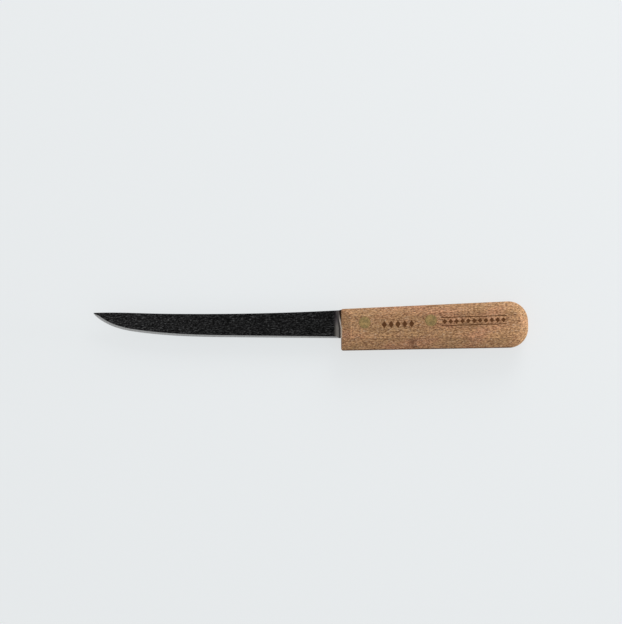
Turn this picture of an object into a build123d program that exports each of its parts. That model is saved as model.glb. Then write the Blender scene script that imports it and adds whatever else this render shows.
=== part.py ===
from build123d import *
from math import radians, tan
import os

# A boning knife: a ground steel blade whose partial tang is riveted into a saw slot in a one-piece wooden
# handle.
#
# Millimetres. The knife lies on one side of its handle. X runs along the handle's centreline, from the tip
# towards the butt. Y runs across it, from the cutting edge towards the spine. Z is up.
# The origin is on the side of the handle that the knife rests on, on the centreline and midway between the
# rivets.

# ---- driving dimensions --------------------------------------------------------------------------

# Blade, seen from the side
blade_length = 152.4  # from the handle's front face to the tip
heel_spine_height = 12.05  # spine above the handle's centreline, where the blade leaves the handle
heel_edge_depth = 5.1  # cutting edge below the centreline, at the same place
tip_height = 15.25  # the tip above the centreline
edge_slope = 2.3  # degrees, of the straight part of the cutting edge
belly_length = 80.0  # the curved part of the cutting edge, measured along X
belly_points = ((29.0, 13.0), (13.3, 9.2), (4.2, 4.2))  # on the belly: behind the tip, and below it
edge_direction_at_tip = (-0.5, 0.87)
spine_dip = 0.3  # how far the spine falls below its height at the heel
spine_dip_setback = 50.0  # the spine's lowest place, ahead of the handle
spine_rise_points = ((54.0, 2.34), (38.0, 1.62), (25.0, 0.82))  # on the spine: behind the tip, and below it

# Blade, in section
stock_thickness = 2.0  # of the steel: the ricasso and the tang keep it
tip_spine_thickness = 1.2  # the spine thins to this towards the tip
heel_shoulder_thickness = 0.56  # behind the cutting edge's bevel, at the heel
tip_shoulder_thickness = 0.82  # the same towards the tip
edge_angle = 15.0  # degrees, one side of the cutting edge's bevel
edge_land = 0.04  # flat left along the cutting edge
greatest_bevel_share = 0.5  # the bevel takes no more than this share of the blade's height, close to the tip
tip_point_angle = 10.0  # degrees, one side, where the spine is thinned to meet the tip
grinding_wheel_radius = 220.0  # hollow of the blade's sides
spine_corner = 0.25  # breaks the spine's corners
greatest_corner_share = 0.125  # and no more than this share of the blade's height, close to the tip
ricasso_length = 1.3  # unground steel between the handle and the grind
plunge_length = 2.0  # where the grind runs in from the full thickness
tip_blunting = 0.4  # the point ends this far short of the sharp one
grind_stations = 24  # equal steps that the ground part is lofted in

# Handle, seen from the side
handle_length = 114.8
handle_front_height = 25.6
handle_butt_height = 28.8
front_lean = 0.7  # the front face's lower corner is this far ahead of its upper one
front_corner_radius = 1.2
butt_corner_radius = 12.0
butt_crown = 3.0  # how far the butt stands out in its middle

# Handle, in section: its sides are flat in the middle and bevelled all round
handle_thickness = 19.0
bevel_depth = 2.8
bevel_front = 6.0
bevel_butt = 4.8
bevel_spine_side = 4.5
bevel_edge_side_front = 8.0
bevel_edge_side_butt = 6.3
flat_front_corner_radius = 0.6
flat_butt_corner_radius = 7.5
ridge_rounding = 1.5  # between the flat sides and the bevels
edge_rounding = 1.5  # between the bevels and the handle's edges

# Tang, and the saw slot that it sits in, which is open at the front and along the spine side
tang_step = 1.2  # the heel stands this far below the tang
tang_recess = 0.45  # the tang lies this far below the handle's spine side
tang_length = 72.0
slot_straight_length = 46.0  # from the front face to where the saw lifts out
saw_radius = 40.0
saw_run_in = 40.0  # the saw's path starts this far ahead of the handle
slot_side_clearance = 0.03
slot_floor_clearance = 0.2

# Two-piece rivets: a tube with a head, and a pin with a head that is driven into it
rivet_inset = 14.5  # first rivet from the front face
rivet_pitch = 40.6
rivet_height = 4.1  # above the handle's centreline
rivet_head_radius = 3.6
rivet_head_thickness = 1.4
tube_radius = 2.4
tube_length = 10.5  # under its head
tube_bore_depth = 9.6
pin_radius = 1.6
pin_engagement = 8.6
rivet_chamfer = 0.4
head_clearance = 0.04
bore_clearance = 0.05
tang_hole_clearance = 0.15
press_clearance = 0.01  # between the pin and the tube's bore

# ---- places worked out from them -----------------------------------------------------------------

front_x = -(rivet_inset + rivet_pitch / 2)  # the handle's front face, on the centreline
butt_x = front_x + handle_length
tip_x = front_x - blade_length
mid_z = handle_thickness / 2
mid_plane = Plane.XY.offset(mid_z)
rivet_places = {"front": front_x + rivet_inset, "rear": front_x + rivet_inset + rivet_pitch}
tang_floor_y = tang_step - heel_edge_depth
slot_floor_y = tang_floor_y - slot_floor_clearance
slot_width = stock_thickness + 2 * slot_side_clearance


def front_face_x(y):
    """The handle's front face, at a height above the centreline."""
    return front_x + front_lean * y / handle_front_height


def spine_side_y(x):
    """The handle's side along the spine, which tapers towards the blade."""
    share = (x - front_x) / handle_length
    return (handle_front_height + (handle_butt_height - handle_front_height) * share) / 2


def saw_path(clearance):
    """What the slotting saw has swept through when it stops, less a clearance at the slot's floor."""
    with BuildSketch(mid_plane, mode=Mode.PRIVATE) as path:
        with Locations((front_x + slot_straight_length, slot_floor_y + saw_radius)):
            Circle(saw_radius - clearance)
        with Locations((front_x + slot_straight_length, slot_floor_y + clearance)):
            Rectangle(slot_straight_length + saw_run_in, saw_radius, align=(Align.MAX, Align.MIN))
    return path.sketch


# ---- blade ---------------------------------------------------------------------------------------

grind_start_x = front_x - ricasso_length
belly_start_x = tip_x + belly_length

with BuildLine() as spine:
    Spline(
        (grind_start_x, heel_spine_height),
        (front_x - spine_dip_setback, heel_spine_height - spine_dip),
        *[(tip_x + behind, tip_height - below) for behind, below in spine_rise_points],
        (tip_x, tip_height),
    )

with BuildLine() as cutting_edge:
    straight = Line(
        (grind_start_x, -heel_edge_depth),
        (belly_start_x, -heel_edge_depth + (grind_start_x - belly_start_x) * tan(radians(edge_slope))),
    )
    Spline(
        straight @ 1,
        *[(tip_x + behind, tip_height - below) for behind, below in belly_points],
        (tip_x, tip_height),
        tangents=(straight % 1, edge_direction_at_tip),
    )


def along(line, share):
    """The point at a share of a line's length, from the heel, in the blade's middle plane."""
    wire = line.wire()
    return wire.position_at(share * wire.length, PositionMode.LENGTH) + Vector(0, 0, mid_z)


def blade_section(share, spine_thickness, shoulder_thickness, land, corner):
    """A section across the blade, from the cutting edge to the spine, at a share of their lengths."""
    foot = along(cutting_edge, share)
    rise = along(spine, share) - foot
    height = rise.length
    bevel_height = (shoulder_thickness - edge_land) / 2 / tan(radians(edge_angle))
    bevel_height = min(bevel_height, height * greatest_bevel_share)
    wedge = edge_land / 2 + bevel_height * tan(radians(edge_angle))
    shoulder = max(land / 2, min(shoulder_thickness / 2, wedge))
    back = max(land / 2, min(spine_thickness / 2, wedge + height * tan(radians(tip_point_angle)) / 2))
    corner = min(corner, height * greatest_corner_share, back / 2)
    side_end = height - corner
    with BuildSketch(Plane(foot, x_dir=rise, z_dir=rise.cross(Vector(0, 0, 1)))) as section:
        with BuildLine():
            Polyline((side_end, -back), (height, corner - back), (height, back - corner), (side_end, back))
            RadiusArc((side_end, back), (bevel_height, shoulder), grinding_wheel_radius)
            Polyline((bevel_height, shoulder), (0, land / 2), (0, -land / 2), (bevel_height, -shoulder))
            RadiusArc((bevel_height, -shoulder), (side_end, -back), grinding_wheel_radius)
        make_face()
    return section.sketch


def ground_section(share):
    """A section of the ground part, whose spine thins and whose shoulders thicken towards the tip."""
    spine_thickness = stock_thickness + (tip_spine_thickness - stock_thickness) * share
    shoulder_thickness = heel_shoulder_thickness + (tip_shoulder_thickness - heel_shoulder_thickness) * share
    return blade_section(share, spine_thickness, shoulder_thickness, edge_land, spine_corner)


grind_share = plunge_length / blade_length
tip_share = 1 - tip_blunting / blade_length
shares = [grind_share + (tip_share - grind_share) * n / grind_stations for n in range(grind_stations + 1)]

with BuildPart() as blade:
    loft([ground_section(share) for share in shares])
    unground_section = blade_section(0, stock_thickness, stock_thickness, stock_thickness, edge_land)
    loft([unground_section, ground_section(grind_share)], ruled=True)
    with BuildSketch(mid_plane):
        with BuildLine():
            Polyline(
                (grind_start_x, heel_spine_height),
                (front_face_x(heel_spine_height), spine_side_y(front_x) - tang_recess),
                (front_x + tang_length, spine_side_y(front_x + tang_length) - tang_recess),
                (front_x + tang_length, -heel_edge_depth),
                (grind_start_x, -heel_edge_depth),
                close=True,
            )
        make_face()
        add(saw_path(slot_floor_clearance), mode=Mode.INTERSECT)
        with BuildLine():
            Polyline(
                (grind_start_x, heel_spine_height),
                (front_face_x(heel_spine_height), heel_spine_height),
                (front_face_x(-heel_edge_depth), -heel_edge_depth),
                (grind_start_x, -heel_edge_depth),
                close=True,
            )
        make_face()
    extrude(amount=stock_thickness / 2, both=True)
    with BuildSketch(mid_plane):
        with Locations(*[(x, rivet_height) for x in rivet_places.values()]):
            Circle(tube_radius + tang_hole_clearance)
    extrude(amount=stock_thickness, both=True, mode=Mode.SUBTRACT)


# ---- handle --------------------------------------------------------------------------------------


def handle_outline(
    height, front, spine_side, edge_side_front, edge_side_butt, butt, front_corner, butt_corner
):
    """The handle's outline seen from the side, drawn in from its greatest outline by the bevels' widths."""
    top_front = (front_face_x(spine_side_y(front_x)) + front, spine_side_y(front_x) - spine_side)
    top_butt = (butt_x - butt_crown - butt, spine_side_y(butt_x) - spine_side)
    low_butt = (butt_x - butt_crown - butt, edge_side_butt - spine_side_y(butt_x))
    low_front = (front_face_x(-spine_side_y(front_x)) + front, edge_side_front - spine_side_y(front_x))
    with BuildSketch(Plane.XY.offset(height)) as outline:
        with BuildLine():
            Polyline(low_front, top_front, top_butt)
            ThreePointArc(top_butt, (butt_x - butt, (top_butt[1] + low_butt[1]) / 2), low_butt)
            Line(low_butt, low_front)
        make_face()
        fillet(outline.vertices().sort_by(Axis.X)[:2], front_corner)
        fillet(outline.vertices().sort_by(Axis.X)[-2:], butt_corner)
    return outline.sketch


def full_outline(height):
    return handle_outline(height, 0, 0, 0, 0, 0, front_corner_radius, butt_corner_radius)


def flat_outline(height):
    widths = (bevel_front, bevel_spine_side, bevel_edge_side_front, bevel_edge_side_butt, bevel_butt)
    return handle_outline(height, *widths, flat_front_corner_radius, flat_butt_corner_radius)


with BuildPart() as handle:
    loft([flat_outline(0), full_outline(bevel_depth)], ruled=True)
    loft([full_outline(bevel_depth), full_outline(handle_thickness - bevel_depth)], ruled=True)
    loft([full_outline(handle_thickness - bevel_depth), flat_outline(handle_thickness)], ruled=True)
    for height in (bevel_depth, handle_thickness - bevel_depth):
        fillet(handle.edges().filter_by_position(Axis.Z, height, height), edge_rounding)
    fillet(handle.faces().filter_by(Axis.Z).edges(), ridge_rounding)
    with BuildSketch(mid_plane):
        add(saw_path(0))
    extrude(amount=slot_width / 2, both=True, mode=Mode.SUBTRACT)
    head_bore_radius = rivet_head_radius + head_clearance
    for x in rivet_places.values():
        with Locations((x, rivet_height, handle_thickness)):
            CounterBoreHole(tube_radius + bore_clearance, head_bore_radius, rivet_head_thickness)
        with BuildSketch():
            with Locations((x, rivet_height)):
                Circle(head_bore_radius)
        extrude(amount=rivet_head_thickness, mode=Mode.SUBTRACT)


# ---- rivets --------------------------------------------------------------------------------------


def revolved(x, outline):
    """A round piece standing on Z at a rivet's place, from half of its outline as radius and height."""
    with BuildPart() as piece:
        with BuildSketch(Plane((x, rivet_height, 0), x_dir=(1, 0, 0), z_dir=(0, -1, 0))):
            with BuildLine():
                Polyline(*outline, close=True)
            make_face()
        revolve(axis=Axis((x, rivet_height, 0), (0, 0, 1)))
    return piece


tube_end_z = handle_thickness - rivet_head_thickness - tube_length
pin_end_z = tube_end_z + pin_engagement

pieces = {"blade": blade, "handle": handle}
for place, x in rivet_places.items():
    pieces[place + "_rivet_tube"] = revolved(
        x,
        (
            (0, handle_thickness),
            (rivet_head_radius, handle_thickness),
            (rivet_head_radius, handle_thickness - rivet_head_thickness),
            (tube_radius, handle_thickness - rivet_head_thickness),
            (tube_radius, tube_end_z + rivet_chamfer),
            (tube_radius - rivet_chamfer, tube_end_z),
            (pin_radius, tube_end_z),
            (pin_radius, tube_end_z + tube_bore_depth),
            (0, tube_end_z + tube_bore_depth),
        ),
    )
    pieces[place + "_rivet_pin"] = revolved(
        x,
        (
            (0, 0),
            (rivet_head_radius, 0),
            (rivet_head_radius, rivet_head_thickness),
            (pin_radius - press_clearance, rivet_head_thickness),
            (pin_radius - press_clearance, pin_end_z - rivet_chamfer),
            (pin_radius - press_clearance - rivet_chamfer, pin_end_z),
            (0, pin_end_z),
        ),
    )


# ---- the pieces' files ---------------------------------------------------------------------------

os.makedirs("parts", exist_ok=True)
for name, piece in pieces.items():
    piece.part.label = name
    export_step(piece.part, "parts/" + name + ".step")
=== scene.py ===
# A boning knife lying on its side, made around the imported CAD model: a dark ground blade, a beech handle
# and brass rivets.
# Lengths are millimetres in the model's frame until they are made into metres. X runs along the knife from
# the tip to the butt, Y from the cutting edge to the spine, and Z is up, with the knife's resting side at 0.
import math

import bmesh
import bpy
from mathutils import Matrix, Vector
from mathutils.bvhtree import BVHTree


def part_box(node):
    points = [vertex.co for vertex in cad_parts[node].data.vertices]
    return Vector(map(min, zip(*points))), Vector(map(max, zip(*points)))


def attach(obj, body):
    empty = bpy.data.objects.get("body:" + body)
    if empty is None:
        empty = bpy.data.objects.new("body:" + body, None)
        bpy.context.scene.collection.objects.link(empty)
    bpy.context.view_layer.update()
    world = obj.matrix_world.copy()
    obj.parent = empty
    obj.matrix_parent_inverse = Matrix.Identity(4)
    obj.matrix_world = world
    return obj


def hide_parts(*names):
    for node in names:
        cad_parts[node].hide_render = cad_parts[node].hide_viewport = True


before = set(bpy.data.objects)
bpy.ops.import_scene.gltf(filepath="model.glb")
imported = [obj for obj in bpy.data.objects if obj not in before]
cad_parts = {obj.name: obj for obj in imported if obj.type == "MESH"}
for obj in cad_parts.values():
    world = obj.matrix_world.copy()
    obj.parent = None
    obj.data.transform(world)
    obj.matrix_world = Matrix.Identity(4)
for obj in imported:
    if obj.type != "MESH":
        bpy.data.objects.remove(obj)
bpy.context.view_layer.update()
MM = 0.001

# ---- sizes -----------------------------------------------------------------------------------------------

# Blade, in section
stock_thickness = 2.0
tip_spine_thickness = 1.2
heel_shoulder_thickness = 0.56
tip_shoulder_thickness = 0.82
edge_angle = math.radians(15)
edge_land = 0.04
greatest_bevel_share = 0.5
greatest_corner_share = 0.125
tip_point_angle = math.radians(10)
grinding_wheel_radius = 220.0
spine_corner = 0.25
ricasso_length = 1.3
plunge_length = 2.0
heel_edge_depth = 5.1

# Handle
handle_length = 114.8
handle_front_height = 25.6
handle_butt_height = 28.8
front_lean = 0.7
front_corner_radius = 1.2
butt_corner_radius = 12.0
butt_crown = 3.0
bevel_depth = 2.8
bevel_front = 6.0
bevel_butt = 4.8
bevel_spine_side = 4.5
bevel_edge_side_front = 8.0
bevel_edge_side_butt = 6.3
flat_front_corner_radius = 0.6
flat_butt_corner_radius = 7.5
ridge_rounding = 0.8
edge_rounding = 1.4

# Tang and slot
tang_step = 1.2
tang_recess = 0.45
tang_length = 72.0
slot_straight_length = 46.0
saw_radius = 40.0
slot_width = 2.06
slot_floor_clearance = 0.2

# Rivets
rivet_inset = 14.5
rivet_head_radius = 3.6
rivet_head_thickness = 1.4
rivet_rim = 0.12  # rounds the head's edge
rivet_dome = 0.05  # how far the dressed head falls away from its middle
rivet_chamfer = 0.4
tube_radius = 2.4
tube_length = 10.5
tube_bore_depth = 9.6
pin_radius = 1.6
pin_engagement = 8.6
head_clearance = 0.04
bore_clearance = 0.05
tang_hole_clearance = 0.15
press_clearance = 0.01

# ---- places, from the frame ------------------------------------------------------------------------------


def middle(node):
    low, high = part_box(node)
    return (low + high) / 2 / MM


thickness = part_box("handle")[1].z / MM
mid_z = thickness / 2
rivets = {place: middle(place + "_rivet_tube") for place in ("front", "rear")}
front_x = rivets["front"].x - rivet_inset
butt_x = front_x + handle_length
tip_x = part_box("blade")[0].x / MM
grind_start_x = front_x - ricasso_length
tang_floor_y = tang_step - heel_edge_depth
slot_floor_y = tang_floor_y - slot_floor_clearance
face_slope = front_lean / handle_front_height  # how far the handle's front face leans back per unit of Y
side_taper = (handle_butt_height - handle_front_height) / 2 / handle_length
edge_bevel_taper = (bevel_edge_side_butt - bevel_edge_side_front) / handle_length


def front_face_x(y):
    return front_x + front_lean * y / handle_front_height


def spine_side_y(x):
    return handle_front_height / 2 + side_taper * (x - front_x)


# ---- camera ----------------------------------------------------------------------------------------------

view_height = 384.4  # how much the picture shows from top to bottom, at the middle of the knife
view_centre = (front_x - 18.2, 11.55)
view_roll = math.radians(1.81)
lens = 150.0
sensor = 36.0
camera_data = bpy.data.cameras.new("camera")
camera_data.lens = lens
camera_data.sensor_width = sensor
camera = bpy.data.objects.new("camera", camera_data)
camera.location = (view_centre[0] * MM, view_centre[1] * MM, (mid_z + view_height * lens / sensor) * MM)
camera.rotation_euler = (0, 0, -view_roll)
bpy.context.scene.collection.objects.link(camera)
bpy.context.scene.camera = camera

# ---- mesh helpers ----------------------------------------------------------------------------------------

sharp_angle = math.radians(32)
blade_sharp_angle = math.radians(9)
weld_distance = 0.001
turned_steps = 96
hole_steps = 48


def new_piece(name, points, faces, materials=(), face_materials=None, sharp=sharp_angle):
    """An object from points in millimetres, smooth but for its sharp edges."""
    mesh = bpy.data.meshes.new(name)
    mesh.from_pydata([(x * MM, y * MM, z * MM) for x, y, z in points], [], faces)
    for material in materials:
        mesh.materials.append(material)
    if face_materials:
        mesh.polygons.foreach_set("material_index", face_materials)
    piece = bpy.data.objects.new(name, mesh)
    bpy.context.scene.collection.objects.link(piece)
    finish_mesh(piece, sharp)
    return piece


def finish_mesh(piece, sharp=sharp_angle):
    """Turns the normals outwards and shades the piece smooth between its sharp edges."""
    work = bmesh.new()
    work.from_mesh(piece.data)
    bmesh.ops.recalc_face_normals(work, faces=work.faces)
    for face in work.faces:
        face.smooth = True
    work.to_mesh(piece.data)
    work.free()
    piece.data.set_sharp_from_angle(angle=sharp)


def tube_of_rings(rings):
    """The faces between rings of equal length, laid one after another, and the two ends."""
    count = len(rings[0])
    points = [point for ring in rings for point in ring]
    faces = []
    for r in range(len(rings) - 1):
        for i in range(count):
            j = (i + 1) % count
            faces.append((r * count + i, r * count + j, (r + 1) * count + j, (r + 1) * count + i))
    faces.append(tuple(reversed(range(count))))
    faces.append(tuple((len(rings) - 1) * count + i for i in range(count)))
    return points, faces


def combine(piece, other, operation):
    """Joins another closed mesh to a piece, or cuts it away, and removes the other."""
    modifier = piece.modifiers.new("combine", "BOOLEAN")
    modifier.operation = operation
    modifier.object = other
    modifier.solver = "EXACT"
    graph = bpy.context.evaluated_depsgraph_get()
    result = bpy.data.meshes.new_from_object(piece.evaluated_get(graph))
    piece.modifiers.clear()
    piece.data = result
    bpy.data.objects.remove(other)


def turned_piece(name, profile, centre, steps, materials=()):
    """A closed outline of radii and heights, turned about Z through a centre and welded on its axis."""
    rings = []
    for n in range(steps):
        angle = 2 * math.pi * n / steps
        c, s = math.cos(angle), math.sin(angle)
        rings.append([(centre.x + r * c, centre.y + r * s, z) for r, z in profile])
    count = len(profile)
    points = [point for ring in rings for point in ring]
    faces = []
    for n in range(steps):
        m = (n + 1) % steps
        for i in range(count - 1):
            faces.append((n * count + i, m * count + i, m * count + i + 1, n * count + i + 1))
    piece = new_piece(name, points, faces, materials)
    work = bmesh.new()
    work.from_mesh(piece.data)
    bmesh.ops.remove_doubles(work, verts=work.verts, dist=weld_distance * MM)
    bmesh.ops.dissolve_degenerate(work, edges=work.edges, dist=weld_distance * MM)
    work.to_mesh(piece.data)
    work.free()
    return piece


def prism(name, outline, low, high):
    """A closed prism from an outline in X and Y."""
    return new_piece(name, *tube_of_rings([[(x, y, z) for x, y in outline] for z in (low, high)]))


# ---- material helpers ------------------------------------------------------------------------------------


def grey(value):
    return (value,) * 3


class Shader:
    """A material's nodes, with a short call for each kind. Lengths inside are millimetres."""

    def __init__(self, name, metallic=0.0, roughness=0.5, specular=0.5):
        self.material = bpy.data.materials.new(name)
        self.material.use_nodes = True
        self.nodes = self.material.node_tree.nodes
        self.links = self.material.node_tree.links
        self.surface = self.nodes["Principled BSDF"]
        self.surface.inputs["Metallic"].default_value = metallic
        self.surface.inputs["Roughness"].default_value = roughness
        self.surface.inputs["Specular IOR Level"].default_value = specular
        place = self.node("ShaderNodeTexCoord").outputs["Object"]
        scaled = self.node("ShaderNodeVectorMath", {0: place, 1: (1 / MM,) * 3}, operation="MULTIPLY")
        self.place = scaled.outputs[0]
        self.x, self.y, self.z = self.node("ShaderNodeSeparateXYZ", {0: self.place}).outputs

    def node(self, kind, inputs=None, **settings):
        made = self.nodes.new(kind)
        for key, value in settings.items():
            setattr(made, key, value)
        for key, value in (inputs or {}).items():
            if isinstance(value, bpy.types.NodeSocket):
                self.links.new(value, made.inputs[key])
            else:
                made.inputs[key].default_value = value
        return made

    def math(self, operation, a, b=0.0):
        return self.node("ShaderNodeMath", {0: a, 1: b}, operation=operation).outputs[0]

    def plus(self, a, b):
        return self.math("ADD", a, b)

    def minus(self, a, b):
        return self.math("SUBTRACT", a, b)

    def times(self, a, b):
        return self.math("MULTIPLY", a, b)

    def over(self, a, b):
        return self.math("DIVIDE", a, b)

    def larger(self, a, b):
        return self.math("MAXIMUM", a, b)

    def step(self, value, low, high):
        """0 at low and 1 at high, smooth between. Low may be the greater of the two."""
        inputs = {"Value": value, "From Min": low, "From Max": high}
        return self.node("ShaderNodeMapRange", inputs, interpolation_type="SMOOTHSTEP").outputs[0]

    def span(self, value, low, high, soft):
        """1 between low and high, falling to 0 over a soft margin outside."""
        return self.times(self.step(value, low - soft, low), self.step(value, high + soft, high))

    def noise(self, scale, detail, roughness, offset=(0, 0, 0)):
        """Noise with so many cycles per millimetre along X, Y and Z."""
        mapping = {"Vector": self.place, "Location": offset, "Scale": scale}
        vector = self.node("ShaderNodeMapping", mapping).outputs[0]
        inputs = {"Vector": vector, "Scale": 1.0, "Detail": detail, "Roughness": roughness}
        return self.node("ShaderNodeTexNoise", inputs).outputs["Fac"]

    def ramp(self, value, *stops):
        ramp = self.node("ShaderNodeValToRGB", {0: value})
        elements = ramp.color_ramp.elements
        while len(elements) < len(stops):
            elements.new(0.5)
        for element, (position, colour) in zip(elements, stops):
            element.position = position
            element.color = (*colour, 1)
        return ramp.outputs[0]

    def mix(self, share, a, b, blend="MIX"):
        made = self.node("ShaderNodeMix", data_type="RGBA", blend_type=blend)
        share_input, a_input, b_input = 0, 6, 7
        for index, value in ((share_input, share), (a_input, a), (b_input, b)):
            if isinstance(value, bpy.types.NodeSocket):
                self.links.new(value, made.inputs[index])
            else:
                made.inputs[index].default_value = value if index == share_input else (*value, 1)
        return made.outputs[2]

    def shade(self, colour, amount, low, high):
        """The colour times a factor that goes from low to high with the amount."""
        inputs = {"Value": amount, "From Min": 0.0, "From Max": 1.0, "To Min": low, "To Max": high}
        factor = self.node("ShaderNodeMapRange", inputs).outputs[0]
        scaled = self.node("ShaderNodeVectorMath", {0: colour, "Scale": factor}, operation="SCALE")
        return scaled.outputs[0]

    def bump(self, height, depth, normal=None):
        """Relief of so many millimetres between the height's 0 and 1."""
        inputs = {"Height": height, "Strength": 1.0, "Distance": depth * MM}
        if normal:
            inputs["Normal"] = normal
        return self.node("ShaderNodeBump", inputs).outputs[0]

    def finish(self, colour, roughness, normal):
        for key, value in (("Base Color", colour), ("Roughness", roughness), ("Normal", normal)):
            self.links.new(value, self.surface.inputs[key])
        return self.material


# ---- beech -----------------------------------------------------------------------------------------------

# The burnt ornament: middles are behind the handle's front face and above its centreline
row_middle = (34.8, 2.4)
row_half_length = 10.0
row_pitch = 4.2
row_lozenge = (1.6, 2.4)  # half its width and half its height
band_middle = (81.5, 3.1)
band_half_length = 20.0
band_pitch = 3.6
band_lozenge = (1.5, 1.6)
band_rule = (2.3, 2.75)  # a rule's two edges, from the band's middle line
burn_wander = 0.25
burn_limits = (thickness - 0.4, thickness - 0.2)  # only the upper side is burnt
burn_strength = 0.94
burnt_brown = (0.098, 0.033, 0.007)


def lozenges(wood, u, v, pitch, half_width, half_height):
    """1 inside each of a row of lozenges, v from the row's middle line."""
    along = wood.math("ABSOLUTE", wood.math("PINGPONG", u, pitch / 2))
    across = wood.over(wood.math("ABSOLUTE", v), half_height)
    return wood.step(wood.plus(wood.over(along, half_width), across), 1.1, 0.9)


def ornament(wood):
    """Lozenges between the rivets, and a ruled band of smaller ones behind the rear rivet."""
    wander = wood.times(wood.minus(wood.noise((1.1, 1.1, 1.1), 2, 0.5), 0.5), burn_wander)
    u = wood.minus(wood.x, front_x + row_middle[0])
    v = wood.plus(wander, wood.minus(wood.y, row_middle[1]))
    row = lozenges(wood, u, v, row_pitch, *row_lozenge)
    row = wood.times(row, wood.span(u, -row_half_length, row_half_length, 0.1))
    u = wood.minus(wood.x, front_x + band_middle[0])
    v = wood.plus(wander, wood.minus(wood.y, band_middle[1]))
    rules = wood.span(wood.math("ABSOLUTE", v), *band_rule, 0.1)
    band = wood.larger(rules, lozenges(wood, u, v, band_pitch, *band_lozenge))
    band = wood.times(band, wood.span(u, -band_half_length, band_half_length, 0.15))
    return wood.times(wood.larger(row, band), wood.step(wood.z, *burn_limits))


def painted_edge_light_and_shade(wood, colour):
    """Painted highlights on the ridges round the flats, and painted shade on the lower and front edges."""
    from_front = wood.minus(wood.x, front_x)
    spine_side = wood.plus(wood.times(from_front, side_taper), handle_front_height / 2)
    low_width = wood.plus(wood.times(from_front, edge_bevel_taper), bevel_edge_side_front)
    # how far a point is outside the flat side, towards the spine, the cutting edge's side and the front
    top = wood.minus(wood.plus(wood.y, bevel_spine_side), spine_side)
    low = wood.minus(low_width, wood.plus(wood.y, spine_side))
    behind_face = wood.minus(from_front, wood.times(wood.y, face_slope))
    front = wood.minus(bevel_front, behind_face)
    outside = wood.larger(wood.larger(top, low), front)
    half_width, soft = 0.15, 0.3
    ridge_highlight_gain, crease_shade, painted_edge_shade_gain, front_painted_shade_share = 1.32, 0.72, 0.52, 0.5
    heel_glint_colour = (0.68, 0.54, 0.41)
    # painted highlight: lighter lines, in patches, along the ridges where the bevels meet the flats and each
    # other
    highlight_patches = wood.step(wood.noise((0.09, 0.4, 0.4), 2, 0.6, (8.0, 2.0, 3.0)), 0.42, 0.56)
    ridge_highlight = wood.times(wood.span(outside, -half_width, half_width, soft), highlight_patches)
    ridge_highlight = wood.times(ridge_highlight, wood.step(wood.x, butt_x - 12, butt_x - 22))  # fades out at the butt
    # the front bevel meets the side bevels where it is as deep as they are
    front_depth = wood.over(front, bevel_front)
    for width, distance in ((bevel_spine_side, top), (bevel_edge_side_front, low)):
        side_depth = wood.over(distance, width)
        meeting = wood.span(wood.minus(side_depth, front_depth), -0.03, 0.03, 0.05)
        ridge_highlight = wood.larger(ridge_highlight, wood.times(meeting, wood.step(side_depth, 0.0, 0.05)))
    front_ridge_highlight = wood.span(front, -half_width, half_width, soft)
    ridge_highlight = wood.larger(ridge_highlight, wood.times(front_ridge_highlight, wood.step(outside, 0.5, 0.3)))
    colour = wood.shade(colour, ridge_highlight, 1.0, ridge_highlight_gain)
    # a darker stretch just inside the lower ridge
    crease = wood.times(wood.span(low, -0.75, -0.45, 0.25), wood.span(from_front, 24, 58, 4))
    colour = wood.shade(colour, crease, 1.0, crease_shade)
    # painted shade: the lower edge and the front edge are darkened, as if turned away from the light
    lower_edge_painted_shade = wood.step(wood.plus(wood.y, spine_side), 1.1, 0.4)
    front_edge_painted_shade = wood.step(behind_face, 0.7, 0.2)
    # painted highlight: a pale glint on the front edge where the blade's heel meets it
    beside_heel = wood.times(wood.step(wood.y, -5.2, -4.8), wood.step(wood.y, 3.2, 1.6))
    painted_heel_glint = wood.times(wood.step(behind_face, 0.56, 0.44), beside_heel)
    bevel_foot = thickness - bevel_depth
    painted_heel_glint = wood.times(painted_heel_glint, wood.step(wood.z, bevel_foot - 1.0, bevel_foot - 0.6))
    colour = wood.mix(painted_heel_glint, colour, heel_glint_colour)
    front_edge_painted_shade = wood.times(wood.times(front_edge_painted_shade, wood.minus(1.0, painted_heel_glint)), front_painted_shade_share)
    return wood.shade(colour, wood.larger(lower_edge_painted_shade, front_edge_painted_shade), 1.0, painted_edge_shade_gain)


def growth_rings(wood, colour):
    """Late wood in rings about an axis below and beside the handle, and wavy along it."""
    axis_below, axis_beside, ring_width, sway_reach = 46.0, 21.0, 2.7, 9.0
    sway = wood.noise((0.018, 0.05, 0.05), 2, 0.5, (11.0, 2.0, 5.0))
    across = wood.plus(wood.plus(wood.y, axis_beside), wood.times(sway, sway_reach))
    depth = wood.plus(wood.z, axis_below)
    radius = wood.math("SQRT", wood.plus(wood.math("POWER", across, 2.0), wood.math("POWER", depth, 2.0)))
    ring = wood.math("FRACT", wood.over(radius, ring_width))
    return wood.shade(colour, wood.math("POWER", ring, 5.0), 1.03, 0.84)


def knot_streak(wood, colour):
    """A dark mineral streak by a small knot, low on the side."""
    along = wood.span(wood.x, front_x + 43, front_x + 47.5, 3.0)
    near = wood.times(along, wood.span(wood.y, -13.5, -8.5, 3.0))
    streak = wood.step(wood.noise((0.42, 0.16, 0.3), 2, 0.6, (6.5, 1.0, 0.0)), 0.45, 0.60)
    strength, mineral_brown = 0.6, (0.13, 0.055, 0.028)
    return wood.mix(wood.times(wood.times(near, streak), strength), colour, mineral_brown)


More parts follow.
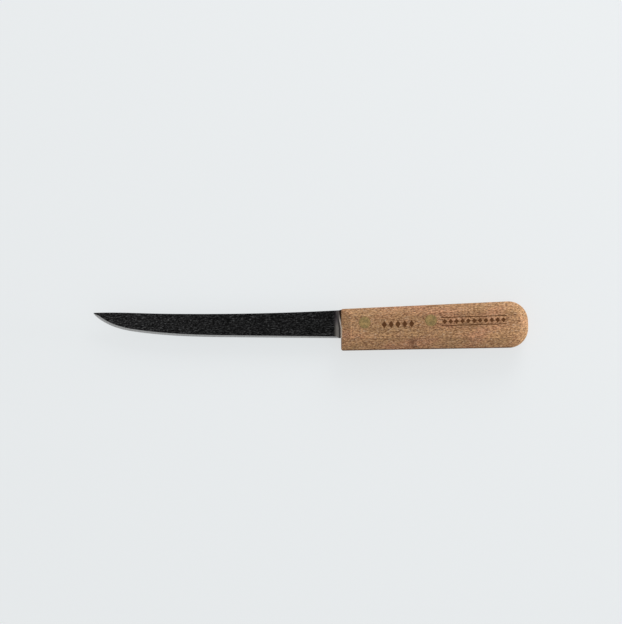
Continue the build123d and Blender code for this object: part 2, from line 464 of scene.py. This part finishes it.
def beech():
    wood = Shader("beech", roughness=0.6, specular=0.12)
    # broad changes of hue
    tan, middle_tan, pink = (0.388, 0.218, 0.101), (0.416, 0.221, 0.105), (0.444, 0.221, 0.114)
    blotch = wood.noise((0.035, 0.09, 0.09), 3, 0.55, (3.1, 7.7, 1.2))
    colour = wood.ramp(blotch, (0.38, tan), (0.50, middle_tan), (0.62, pink))
    colour = growth_rings(wood, colour)
    # fibres, and a speckle that turns browner as it darkens
    fibre = wood.noise((0.06, 2.2, 2.2), 5, 0.65, (1.0, 1.0, 1.0))
    colour = wood.shade(colour, fibre, 0.62, 1.38)
    speckle = wood.noise((0.8, 1.7, 1.7), 3, 0.62, (5.0, 3.0, 8.0))
    speckle_dark, speckle_pale = (0.08, 0.0, 0.0), (1.93, 2.02, 2.12)
    tint = wood.mix(wood.step(speckle, 0.18, 0.82), speckle_dark, speckle_pale)
    colour = wood.mix(1.0, colour, tint, "MULTIPLY")
    # dark pores and pale flecks of the rays
    pore_brown, ray_tan = (0.19, 0.080, 0.028), (0.72, 0.49, 0.32)
    pores = wood.step(wood.noise((0.38, 2.0, 1.7), 1, 0.5, (9.0, 4.0, 2.0)), 0.53, 0.72)
    colour = wood.mix(wood.times(pores, 0.75), colour, pore_brown)
    rays = wood.step(wood.noise((0.6, 1.7, 1.7), 2, 0.6, (2.0, 14.0, 6.0)), 0.54, 0.74)
    colour = wood.mix(wood.times(rays, 0.75), colour, ray_tan)
    colour = knot_streak(wood, painted_edge_light_and_shade(wood, colour))
    # painted light: the colour brightens towards the butt, as if lit from that end
    colour = wood.shade(colour, wood.step(wood.x, butt_x - 45, butt_x - 8), 1.0, 1.17)
    burnt = ornament(wood)
    colour = wood.mix(wood.times(burnt, burn_strength), colour, burnt_brown)
    grain_relief, sunk_relief = 0.10, -0.03
    normal = wood.bump(wood.plus(wood.times(fibre, 0.6), wood.times(speckle, 0.4)), grain_relief)
    normal = wood.bump(wood.larger(pores, wood.times(burnt, 3.0)), sunk_relief, normal)
    roughness = wood.ramp(speckle, (0.2, grey(0.50)), (0.8, grey(0.66)))
    return wood.finish(colour, roughness, normal)


# ---- steel and brass -------------------------------------------------------------------------------------


def plunge_and_ricasso(steel, colour, speckle, scratch):
    """The plunge painted lighter as a painted reflection, a painted shadow at its foot and the bare strip by
    the handle, which is also returned.

    The strip draws away from the handle towards the spine, where it is painted darker as painted shade, and
    the painted shadow of a gap opens behind it."""
    ahead = steel.minus(steel.minus(steel.x, front_x), steel.times(steel.y, face_slope))
    # painted reflection: the plunge is lighter near the cutting edge and darkens towards the spine
    plunge = steel.ramp(
        steel.step(steel.y, -3.0, 12.0),
        (0.25, (0.245, 0.230, 0.210)),
        (0.55, (0.150, 0.133, 0.136)),
        (0.85, (0.050, 0.041, 0.048)),
    )
    plunge = steel.shade(plunge, scratch, 0.7, 1.3)
    colour = steel.mix(steel.step(ahead, -4.7, -2.2), colour, plunge)
    draw_start_y, draw_slope, strip_behind = 1.0, 0.165, 0.12
    foot_shadow_grey, gap_shadow_brown = (0.085, 0.078, 0.074), (0.030, 0.015, 0.010)
    bare_low, bare_shaded = (0.95, 0.87, 0.79), (0.16, 0.14, 0.13)
    draw = steel.times(steel.larger(steel.minus(steel.y, draw_start_y), 0.0), draw_slope)
    from_strip = steel.plus(ahead, steel.minus(draw, strip_behind))
    # painted shadow: a dark line along the plunge's foot
    colour = steel.mix(steel.span(from_strip, -1.5, -0.65, 0.15), colour, foot_shadow_grey)
    # painted shade: the bare strip darkens towards the spine
    bare = steel.mix(steel.step(steel.y, 4.0, 10.0), bare_low, bare_shaded)
    bare = steel.shade(bare, speckle, 0.85, 1.15)
    strip = steel.step(from_strip, -0.48, -0.32)
    # painted shadow: dark brown where the strip has drawn away from the handle
    gap_shadow = steel.step(from_strip, 0.30, 0.42)
    colour = steel.mix(gap_shadow, steel.mix(strip, colour, bare), gap_shadow_brown)
    return colour, steel.minus(strip, gap_shadow)


def dark_steel():
    """The ground sides, blackened and speckled, with the bare heel."""
    steel = Shader("dark_ground_steel", roughness=0.5, specular=0.06)
    speckle = steel.noise((0.8, 1.6, 1.6), 4, 0.72)
    dash = steel.noise((0.35, 2.1, 2.1), 2, 0.6, (7.0, 3.0, 1.0))
    scratch = steel.noise((0.05, 5.0, 5.0), 3, 0.6, (4.0, 0.0, 0.0))
    grains = steel.plus(steel.times(speckle, 0.65), steel.times(dash, 0.35))
    colour = steel.ramp(grains, (0.42, grey(0.0005)), (0.515, grey(0.0085)), (0.63, grey(0.078)))
    colour = steel.shade(colour, scratch, 0.6, 1.4)
    # a little paler towards the tip
    colour = steel.shade(colour, steel.step(steel.x, front_x - 60, tip_x), 1.0, 1.5)
    colour, bare = plunge_and_ricasso(steel, colour, speckle, scratch)
    steel.links.new(bare, steel.surface.inputs["Metallic"])
    scratch_relief, speckle_relief = 0.012, 0.02
    normal = steel.bump(speckle, speckle_relief, steel.bump(scratch, scratch_relief))
    roughness = steel.ramp(speckle, (0.3, grey(0.58)), (0.7, grey(0.40)))
    return steel.finish(colour, roughness, normal)


def bright_steel():
    """The cutting edge's bevel, ground bright."""
    steel = Shader("bright_ground_steel", metallic=1.0, roughness=0.34)
    scratch = steel.noise((4.5, 0.7, 0.7), 3, 0.65)
    colour = steel.ramp(scratch, (0.3, (0.36, 0.36, 0.355)), (0.7, (0.64, 0.64, 0.63)))
    roughness = steel.ramp(scratch, (0.3, grey(0.42)), (0.7, grey(0.28)))
    scratch_relief = 0.01
    return steel.finish(colour, roughness, steel.bump(scratch, scratch_relief))


def brass():
    metal = Shader("brass", metallic=1.0, roughness=0.42)
    tarnish = metal.noise((0.5, 0.5, 0.5), 3, 0.6, (2.0, 9.0, 4.0))
    colour = metal.ramp(tarnish, (0.35, (0.32, 0.235, 0.105)), (0.65, (0.56, 0.37, 0.155)))
    grain = metal.noise((1.1, 1.7, 1.7), 2, 0.7, (3.0, 5.0, 1.0))
    colour = metal.shade(colour, metal.step(grain, 0.40, 0.60), 0.80, 1.20)
    scratch = metal.noise((1.2, 3.2, 3.2), 3, 0.6)
    colour = metal.shade(colour, scratch, 0.78, 1.22)
    roughness = metal.ramp(scratch, (0.3, grey(0.52)), (0.7, grey(0.36)))
    scratch_relief = 0.02
    return metal.finish(colour, roughness, metal.bump(scratch, scratch_relief))


beech_wood = beech()
dark = dark_steel()
bright = bright_steel()
rivet_brass = brass()

# ---- blade -----------------------------------------------------------------------------------------------

cad_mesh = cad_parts["blade"].data
cad_points = [vertex.co for vertex in cad_mesh.vertices]
cad_blade = BVHTree.FromPolygons(cad_points, [tuple(polygon.vertices) for polygon in cad_mesh.polygons])
outside_reach = 0.1  # metres, well outside the blade


def silhouette(x):
    """The cutting edge's and the spine's heights where the CAD blade is cut across."""
    edge = cad_blade.ray_cast(Vector((x * MM, -outside_reach, mid_z * MM)), Vector((0, 1, 0)))[0]
    spine = cad_blade.ray_cast(Vector((x * MM, outside_reach, mid_z * MM)), Vector((0, -1, 0)))[0]
    return (edge.y / MM, spine.y / MM) if edge and spine else None


ground_steps = 520
ground_spread = 1.25  # crowds the ground sections towards the tip
plunge_steps = 14
plunge_rise = 1.6  # how late the plunge climbs to the full thickness
side_steps = 14
bevel_steps = 3
corner_steps = 4
tip_margin = 0.12  # the first section, behind the tip
slope_reach = 3  # sections each way that the edge's slope is taken over
bevel_run_out = 0.8  # of the plunge's length, where the bright bevel ends
face_gap = 0.01  # between the last section and the handle


def blade_section(edge_y, spine_y, slope, share, full):
    """Half of a section across the blade as Y and half-thickness, from the edge to the spine."""
    height = spine_y - edge_y
    stretch = math.hypot(1, slope)
    shoulder_thickness = heel_shoulder_thickness + (tip_shoulder_thickness - heel_shoulder_thickness) * share
    back_thickness = stock_thickness + (tip_spine_thickness - stock_thickness) * share
    bevel = (shoulder_thickness - edge_land) / 2 / math.tan(edge_angle) * stretch
    bevel = min(bevel, height * greatest_bevel_share)
    wedge = edge_land / 2 + bevel * math.tan(edge_angle) / stretch
    shoulder = min(shoulder_thickness / 2, wedge)
    back = min(back_thickness / 2, wedge + height * math.tan(tip_point_angle) / 2)
    corner = min(spine_corner, height * greatest_corner_share, back / 2)
    run = height - bevel - corner
    hollow = run**2 / 8 / grinding_wheel_radius
    half = []
    for n in range(bevel_steps):
        rise = (shoulder - edge_land / 2) * n / bevel_steps
        half.append((edge_y + bevel * n / bevel_steps, edge_land / 2 + rise))
    for n in range(side_steps + 1):
        f = n / side_steps
        half.append((edge_y + bevel + run * f, shoulder + (back - shoulder) * f - 4 * hollow * f * (1 - f)))
    for n in range(1, corner_steps + 1):
        angle = math.pi / 2 * n / corner_steps
        half.append((spine_y - corner + corner * math.sin(angle), back - corner + corner * math.cos(angle)))
    stock = stock_thickness / 2
    return [(y, t + (stock - t) * full) for y, t in half]


def blade_rings():
    """Sections from the tip to the handle's front face."""
    start, end = tip_x + tip_margin, grind_start_x - plunge_length
    places = [start + (end - start) * (n / ground_steps) ** ground_spread for n in range(ground_steps)]
    places += [end + plunge_length * n / plunge_steps for n in range(plunge_steps + 1)]
    cuts = [(x, *silhouette(x)) for x in places if silhouette(x)]
    rings = []
    for n, (x, edge_y, spine_y) in enumerate(cuts):
        before, after = cuts[max(n - slope_reach, 0)], cuts[min(n + slope_reach, len(cuts) - 1)]
        slope = (after[1] - before[1]) / (after[0] - before[0])
        share = (grind_start_x - x) / (grind_start_x - tip_x)
        rise = max(0.0, 1 - (grind_start_x - x) / plunge_length)
        half = blade_section(edge_y, spine_y, slope, share, rise**plunge_rise)
        upper = [(x, y, mid_z + t) for y, t in half]
        rings.append(upper + [(x, y, mid_z - t) for y, t in reversed(half)])
    rings.append([(front_face_x(y) - face_gap, y, z) for x, y, z in rings[-1]])
    return rings


def bevel_faces(rings, faces):
    """1 for each face of the bright cutting bevel, which narrows to nothing at the plunge, and else 0."""
    columns = len(rings[0])
    chosen = [0] * len(faces)
    for ring in range(len(rings) - 1):
        run_out = (rings[ring][0][0] - grind_start_x + plunge_length) / (bevel_run_out * plunge_length)
        bright_steps = bevel_steps * min(1.0, 1 - run_out)
        for column in range(columns):
            # the last column is the land along the cutting edge
            from_edge = min(column, columns - 2 - column) if column < columns - 1 else -1
            chosen[ring * columns + column] = int(from_edge < bright_steps)
    return chosen


tang_lead = 0.9  # the tang's prism starts this far ahead of the handle, inside the ricasso
tang_lead_drop = 0.3  # and is so much lower there
tang_top_y = 12.0  # near the height at which its top meets the handle's front face
tang_inset = 0.01  # keeps the tang's sides just inside the ricasso's
tang_end_steps = 24


def tang_outline():
    """The tang from the side: its top follows the handle's spine side, and its end the saw's cut."""
    end_x = front_x + tang_length
    radius = saw_radius - slot_floor_clearance
    centre = (front_x + slot_straight_length, slot_floor_y + saw_radius)
    top_y = spine_side_y(front_x) - tang_recess
    outline = [(front_x - tang_lead, top_y - tang_lead_drop), (front_face_x(tang_top_y), top_y)]
    outline.append((end_x, spine_side_y(end_x) - tang_recess))
    last = math.asin((end_x - centre[0]) / radius)
    for n in range(tang_end_steps, -1, -1):
        angle = last * n / tang_end_steps
        outline.append((centre[0] + radius * math.sin(angle), centre[1] - radius * math.cos(angle)))
    outline.append((front_x - tang_lead, tang_floor_y))
    return outline


rings = blade_rings()
points, faces = tube_of_rings(rings)
face_materials = bevel_faces(rings, faces)
blade = new_piece("blade_steel", points, faces, [dark, bright], face_materials, blade_sharp_angle)
tang_half = stock_thickness / 2 - tang_inset
combine(blade, prism("tang", tang_outline(), mid_z - tang_half, mid_z + tang_half), "UNION")
for centre in rivets.values():
    hole_radius = tube_radius + tang_hole_clearance
    hole = [(0, 0), (hole_radius, 0), (hole_radius, thickness), (0, thickness)]
    combine(blade, turned_piece("hole", hole, centre, hole_steps), "DIFFERENCE")
finish_mesh(blade, blade_sharp_angle)
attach(blade, "root")
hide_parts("blade")

# ---- handle ----------------------------------------------------------------------------------------------


def unit(a, b):
    """The direction from one point to another."""
    length = math.dist(a, b)
    return ((b[0] - a[0]) / length, (b[1] - a[1]) / length)


def arc(centre, radius, start, end, steps):
    """Points on an arc between two angles, both ends among them."""
    angles = [start + (end - start) * n / steps for n in range(steps + 1)]
    return [(centre[0] + radius * math.cos(a), centre[1] + radius * math.sin(a)) for a in angles]


def rounded_corner(before, corner, after, radius, steps):
    """The arc that rounds a corner between two straight lines."""
    u, v = unit(corner, before), unit(corner, after)
    half = math.acos(max(-1, min(1, u[0] * v[0] + u[1] * v[1]))) / 2
    middle_way = unit((0, 0), (u[0] + v[0], u[1] + v[1]))
    reach = radius / math.sin(half)
    centre = (corner[0] + middle_way[0] * reach, corner[1] + middle_way[1] * reach)
    cut = radius / math.tan(half)
    ends = [(corner[0] + w[0] * cut, corner[1] + w[1] * cut) for w in (u, v)]
    start, end = (math.atan2(p[1] - centre[1], p[0] - centre[0]) for p in ends)
    turn = (end - start + math.pi) % (2 * math.pi) - math.pi
    return arc(centre, radius, start, start + turn, steps)


def line(a, b, steps):
    """Points between two, neither among them."""
    return [(a[0] + (b[0] - a[0]) * n / steps, a[1] + (b[1] - a[1]) * n / steps) for n in range(1, steps)]


def butt_corner(side_start, side_end, crown_centre, crown_radius, radius):
    """The centre and the two angles of the arc between a straight side and the butt's crown."""
    d = unit(side_start, side_end)
    to_crown = (crown_centre[0] - side_start[0], crown_centre[1] - side_start[1])
    crown_is_left = to_crown[1] * d[0] > to_crown[0] * d[1]
    inward = (-d[1], d[0]) if crown_is_left else (d[1], -d[0])
    base = (side_start[0] + inward[0] * radius, side_start[1] + inward[1] * radius)
    to_base = (base[0] - crown_centre[0], base[1] - crown_centre[1])
    b = to_base[0] * d[0] + to_base[1] * d[1]
    c = to_base[0] ** 2 + to_base[1] ** 2 - (crown_radius - radius) ** 2
    t = -b + math.sqrt(b * b - c)
    centre = (base[0] + d[0] * t, base[1] + d[1] * t)
    on_side = math.atan2(-inward[1], -inward[0])
    on_crown = math.atan2(centre[1] - crown_centre[1], centre[0] - crown_centre[0])
    return centre, on_side, on_crown


front_line_steps = 24
side_line_steps = 160
crown_steps = 24
front_corner_steps = 8
butt_corner_steps = 22


def handle_outline(front, spine_side, edge_side_front, edge_side_butt, butt, front_corner, butt_radius):
    """The handle's outline from the side, drawn in by the bevels' widths, always with as many points."""
    top_front = (front_face_x(spine_side_y(front_x)) + front, spine_side_y(front_x) - spine_side)
    top_butt = (butt_x - butt_crown - butt, spine_side_y(butt_x) - spine_side)
    low_butt = (butt_x - butt_crown - butt, edge_side_butt - spine_side_y(butt_x))
    low_front = (front_face_x(-spine_side_y(front_x)) + front, edge_side_front - spine_side_y(front_x))
    half_chord = (top_butt[1] - low_butt[1]) / 2
    crown_radius = (half_chord**2 + butt_crown**2) / 2 / butt_crown
    crown_centre = (butt_x - butt - crown_radius, (top_butt[1] + low_butt[1]) / 2)
    front_top = rounded_corner(low_front, top_front, top_butt, front_corner, front_corner_steps)
    front_low = rounded_corner(low_butt, low_front, top_front, front_corner, front_corner_steps)
    centre, side_angle, top_angle = butt_corner(top_front, top_butt, crown_centre, crown_radius, butt_radius)
    butt_top = arc(centre, butt_radius, side_angle, top_angle, butt_corner_steps)
    centre, side_angle, low_angle = butt_corner(low_front, low_butt, crown_centre, crown_radius, butt_radius)
    butt_low = arc(centre, butt_radius, low_angle, side_angle, butt_corner_steps)
    crown = arc(crown_centre, crown_radius, top_angle, low_angle, crown_steps)[1:-1]
    outline = front_low + line(front_low[-1], front_top[0], front_line_steps) + front_top
    outline += line(front_top[-1], butt_top[0], side_line_steps) + butt_top + crown + butt_low
    return outline + line(butt_low[-1], front_low[0], side_line_steps)


full = handle_outline(0, 0, 0, 0, 0, front_corner_radius, butt_corner_radius)
flat = handle_outline(
    bevel_front,
    bevel_spine_side,
    bevel_edge_side_front,
    bevel_edge_side_butt,
    bevel_butt,
    flat_front_corner_radius,
    flat_butt_corner_radius,
)

rounding_steps = 6
bevel_line_steps = 4
edge_line_steps = 6
flat_margin = 0.5  # of the flat side that the section keeps, inside the ridge's rounding
flat_lead = 6.0  # a place on the flat side, which gives its direction


def handle_section(width):
    """A section from the lower flat side to the upper, as distance out from the flat's edge and height."""
    path = [
        (-flat_lead, 0),
        (0, 0),
        (width, bevel_depth),
        (width, thickness - bevel_depth),
        (0, thickness),
        (-flat_lead, thickness),
    ]
    radii = (ridge_rounding, edge_rounding, edge_rounding, ridge_rounding)
    corners = [rounded_corner(*path[n : n + 3], radii[n], rounding_steps) for n in range(4)]
    section = [(corners[0][0][0] - flat_margin, 0)] + corners[0]
    for n, steps in ((1, bevel_line_steps), (2, edge_line_steps), (3, bevel_line_steps)):
        section += line(corners[n - 1][-1], corners[n][0], steps) + corners[n]
    return section + [(corners[3][-1][0] - flat_margin, thickness)]


def handle_rings():
    """The same outline at each height of the section, out from the flat's edge towards the full outline."""
    columns = []
    for outer, inner in zip(full, flat):
        out = unit(inner, outer)
        section = handle_section(math.dist(inner, outer))
        columns.append([(inner[0] + out[0] * w, inner[1] + out[1] * w, z) for w, z in section])
    return [[column[n] for column in columns] for n in range(len(columns[0]))]


kerf_lead = 8.0  # the kerf starts this far ahead of the handle
kerf_margin = 2.0  # and ends this far outside its spine side
kerf_steps = 40
cut_margin = 1.0  # the rivets' bores are cut from this far outside the flat sides


def kerf_outline():
    """The saw's cut from the side: straight from the front, and then up on the saw's radius."""
    above = spine_side_y(butt_x) + kerf_margin
    lift = math.acos((slot_floor_y + saw_radius - above) / saw_radius)
    outline = [(front_x - kerf_lead, above), (front_x - kerf_lead, slot_floor_y)]
    for n in range(kerf_steps + 1):
        angle = lift * n / kerf_steps
        rise = saw_radius * (1 - math.cos(angle))
        outline.append((front_x + slot_straight_length + saw_radius * math.sin(angle), slot_floor_y + rise))
    return outline


def counterbored_hole():
    """A rivet's hole through the handle, counterbored from both sides, as radius and height."""
    head, bore = rivet_head_radius + head_clearance, tube_radius + bore_clearance
    low, high = rivet_head_thickness, thickness - rivet_head_thickness
    bottom, top = -cut_margin, thickness + cut_margin
    lower_half = [(0, bottom), (head, bottom), (head, low), (bore, low)]
    return lower_half + [(bore, high), (head, high), (head, top), (0, top)]


handle = new_piece("handle_wood", *tube_of_rings(handle_rings()), [beech_wood])
combine(handle, prism("kerf", kerf_outline(), mid_z - slot_width / 2, mid_z + slot_width / 2), "DIFFERENCE")
for centre in rivets.values():
    combine(handle, turned_piece("bore", counterbored_hole(), centre, turned_steps), "DIFFERENCE")
finish_mesh(handle)
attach(handle, "root")
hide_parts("handle")

# ---- rivets ----------------------------------------------------------------------------------------------

face_steps = 8
rim_steps = 4


def head_profile(stem):
    """A rivet's head as radius and depth below its face: the dressed face, its rim and its underside."""
    flat_radius = rivet_head_radius - rivet_rim
    shares = [n / face_steps for n in range(face_steps + 1)]
    profile = [(flat_radius * share, rivet_dome * share**2) for share in shares]
    for n in range(1, rim_steps + 1):
        angle = math.pi / 2 * n / rim_steps
        depth = rivet_dome + rivet_rim * (1 - math.cos(angle))
        profile.append((flat_radius + rivet_rim * math.sin(angle), depth))
    return profile + [(rivet_head_radius, rivet_head_thickness), (stem, rivet_head_thickness)]


def tube_profile():
    """The tube, with its head on the upper side, as radius and height."""
    end = thickness - rivet_head_thickness - tube_length
    profile = [(radius, thickness - depth) for radius, depth in head_profile(tube_radius)]
    profile += [(tube_radius, end + rivet_chamfer), (tube_radius - rivet_chamfer, end), (pin_radius, end)]
    return profile + [(pin_radius, end + tube_bore_depth), (0, end + tube_bore_depth)]


def pin_profile():
    """The pin, with its head on the lower side, as radius and height."""
    stem = pin_radius - press_clearance
    end = thickness - rivet_head_thickness - tube_length + pin_engagement
    return head_profile(stem) + [(stem, end - rivet_chamfer), (stem - rivet_chamfer, end), (0, end)]


for place, centre in rivets.items():
    for part, profile in (("tube", tube_profile()), ("pin", pin_profile())):
        piece = turned_piece(f"{place}_rivet_{part}_brass", profile, centre, turned_steps, [rivet_brass])
        finish_mesh(piece)
        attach(piece, "root")
        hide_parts(f"{place}_rivet_{part}")

# ---- floor and light -------------------------------------------------------------------------------------

floor_material = bpy.data.materials.new("pale_floor")
floor_material.use_nodes = True
floor_surface = floor_material.node_tree.nodes["Principled BSDF"]
floor_surface.inputs["Base Color"].default_value = (0.22, 0.225, 0.23, 1)
floor_surface.inputs["Roughness"].default_value = 0.9
floor_surface.inputs["Specular IOR Level"].default_value = 0.1
floor_surface.inputs["Emission Color"].default_value = (0.96, 0.99, 1.0, 1)
floor_surface.inputs["Emission Strength"].default_value = 0.66
floor_reach = 6.0  # metres
floor_corners = [(x * floor_reach, y * floor_reach, 0) for x, y in ((-1, -1), (1, -1), (1, 1), (-1, 1))]
floor_mesh = bpy.data.meshes.new("floor")
floor_mesh.from_pydata(floor_corners, [], [(0, 1, 2, 3)])
floor_mesh.materials.append(floor_material)
floor = bpy.data.objects.new("floor", floor_mesh)
bpy.context.scene.collection.objects.link(floor)

world = bpy.data.worlds.new("studio")
world.use_nodes = True
world.node_tree.nodes["Background"].inputs["Color"].default_value = (0.97, 0.985, 1.0, 1)
world.node_tree.nodes["Background"].inputs["Strength"].default_value = 0.58
bpy.context.scene.world = world


def soft_light(name, place, size, power):
    """A round lamp that looks at the origin, in metres and watts."""
    data = bpy.data.lights.new(name, "AREA")
    data.shape = "DISK"
    data.size = size
    data.energy = power
    lamp = bpy.data.objects.new(name, data)
    lamp.location = place
    lamp.rotation_euler = (-Vector(place)).to_track_quat("-Z", "Y").to_euler()
    bpy.context.scene.collection.objects.link(lamp)


soft_light("key_light", (0.3, 0.95, 0.55), size=0.7, power=5)
soft_light("side_light", (1.2, 0.05, 0.12), size=0.25, power=10)
bpy.context.scene.view_settings.view_transform = "Standard"
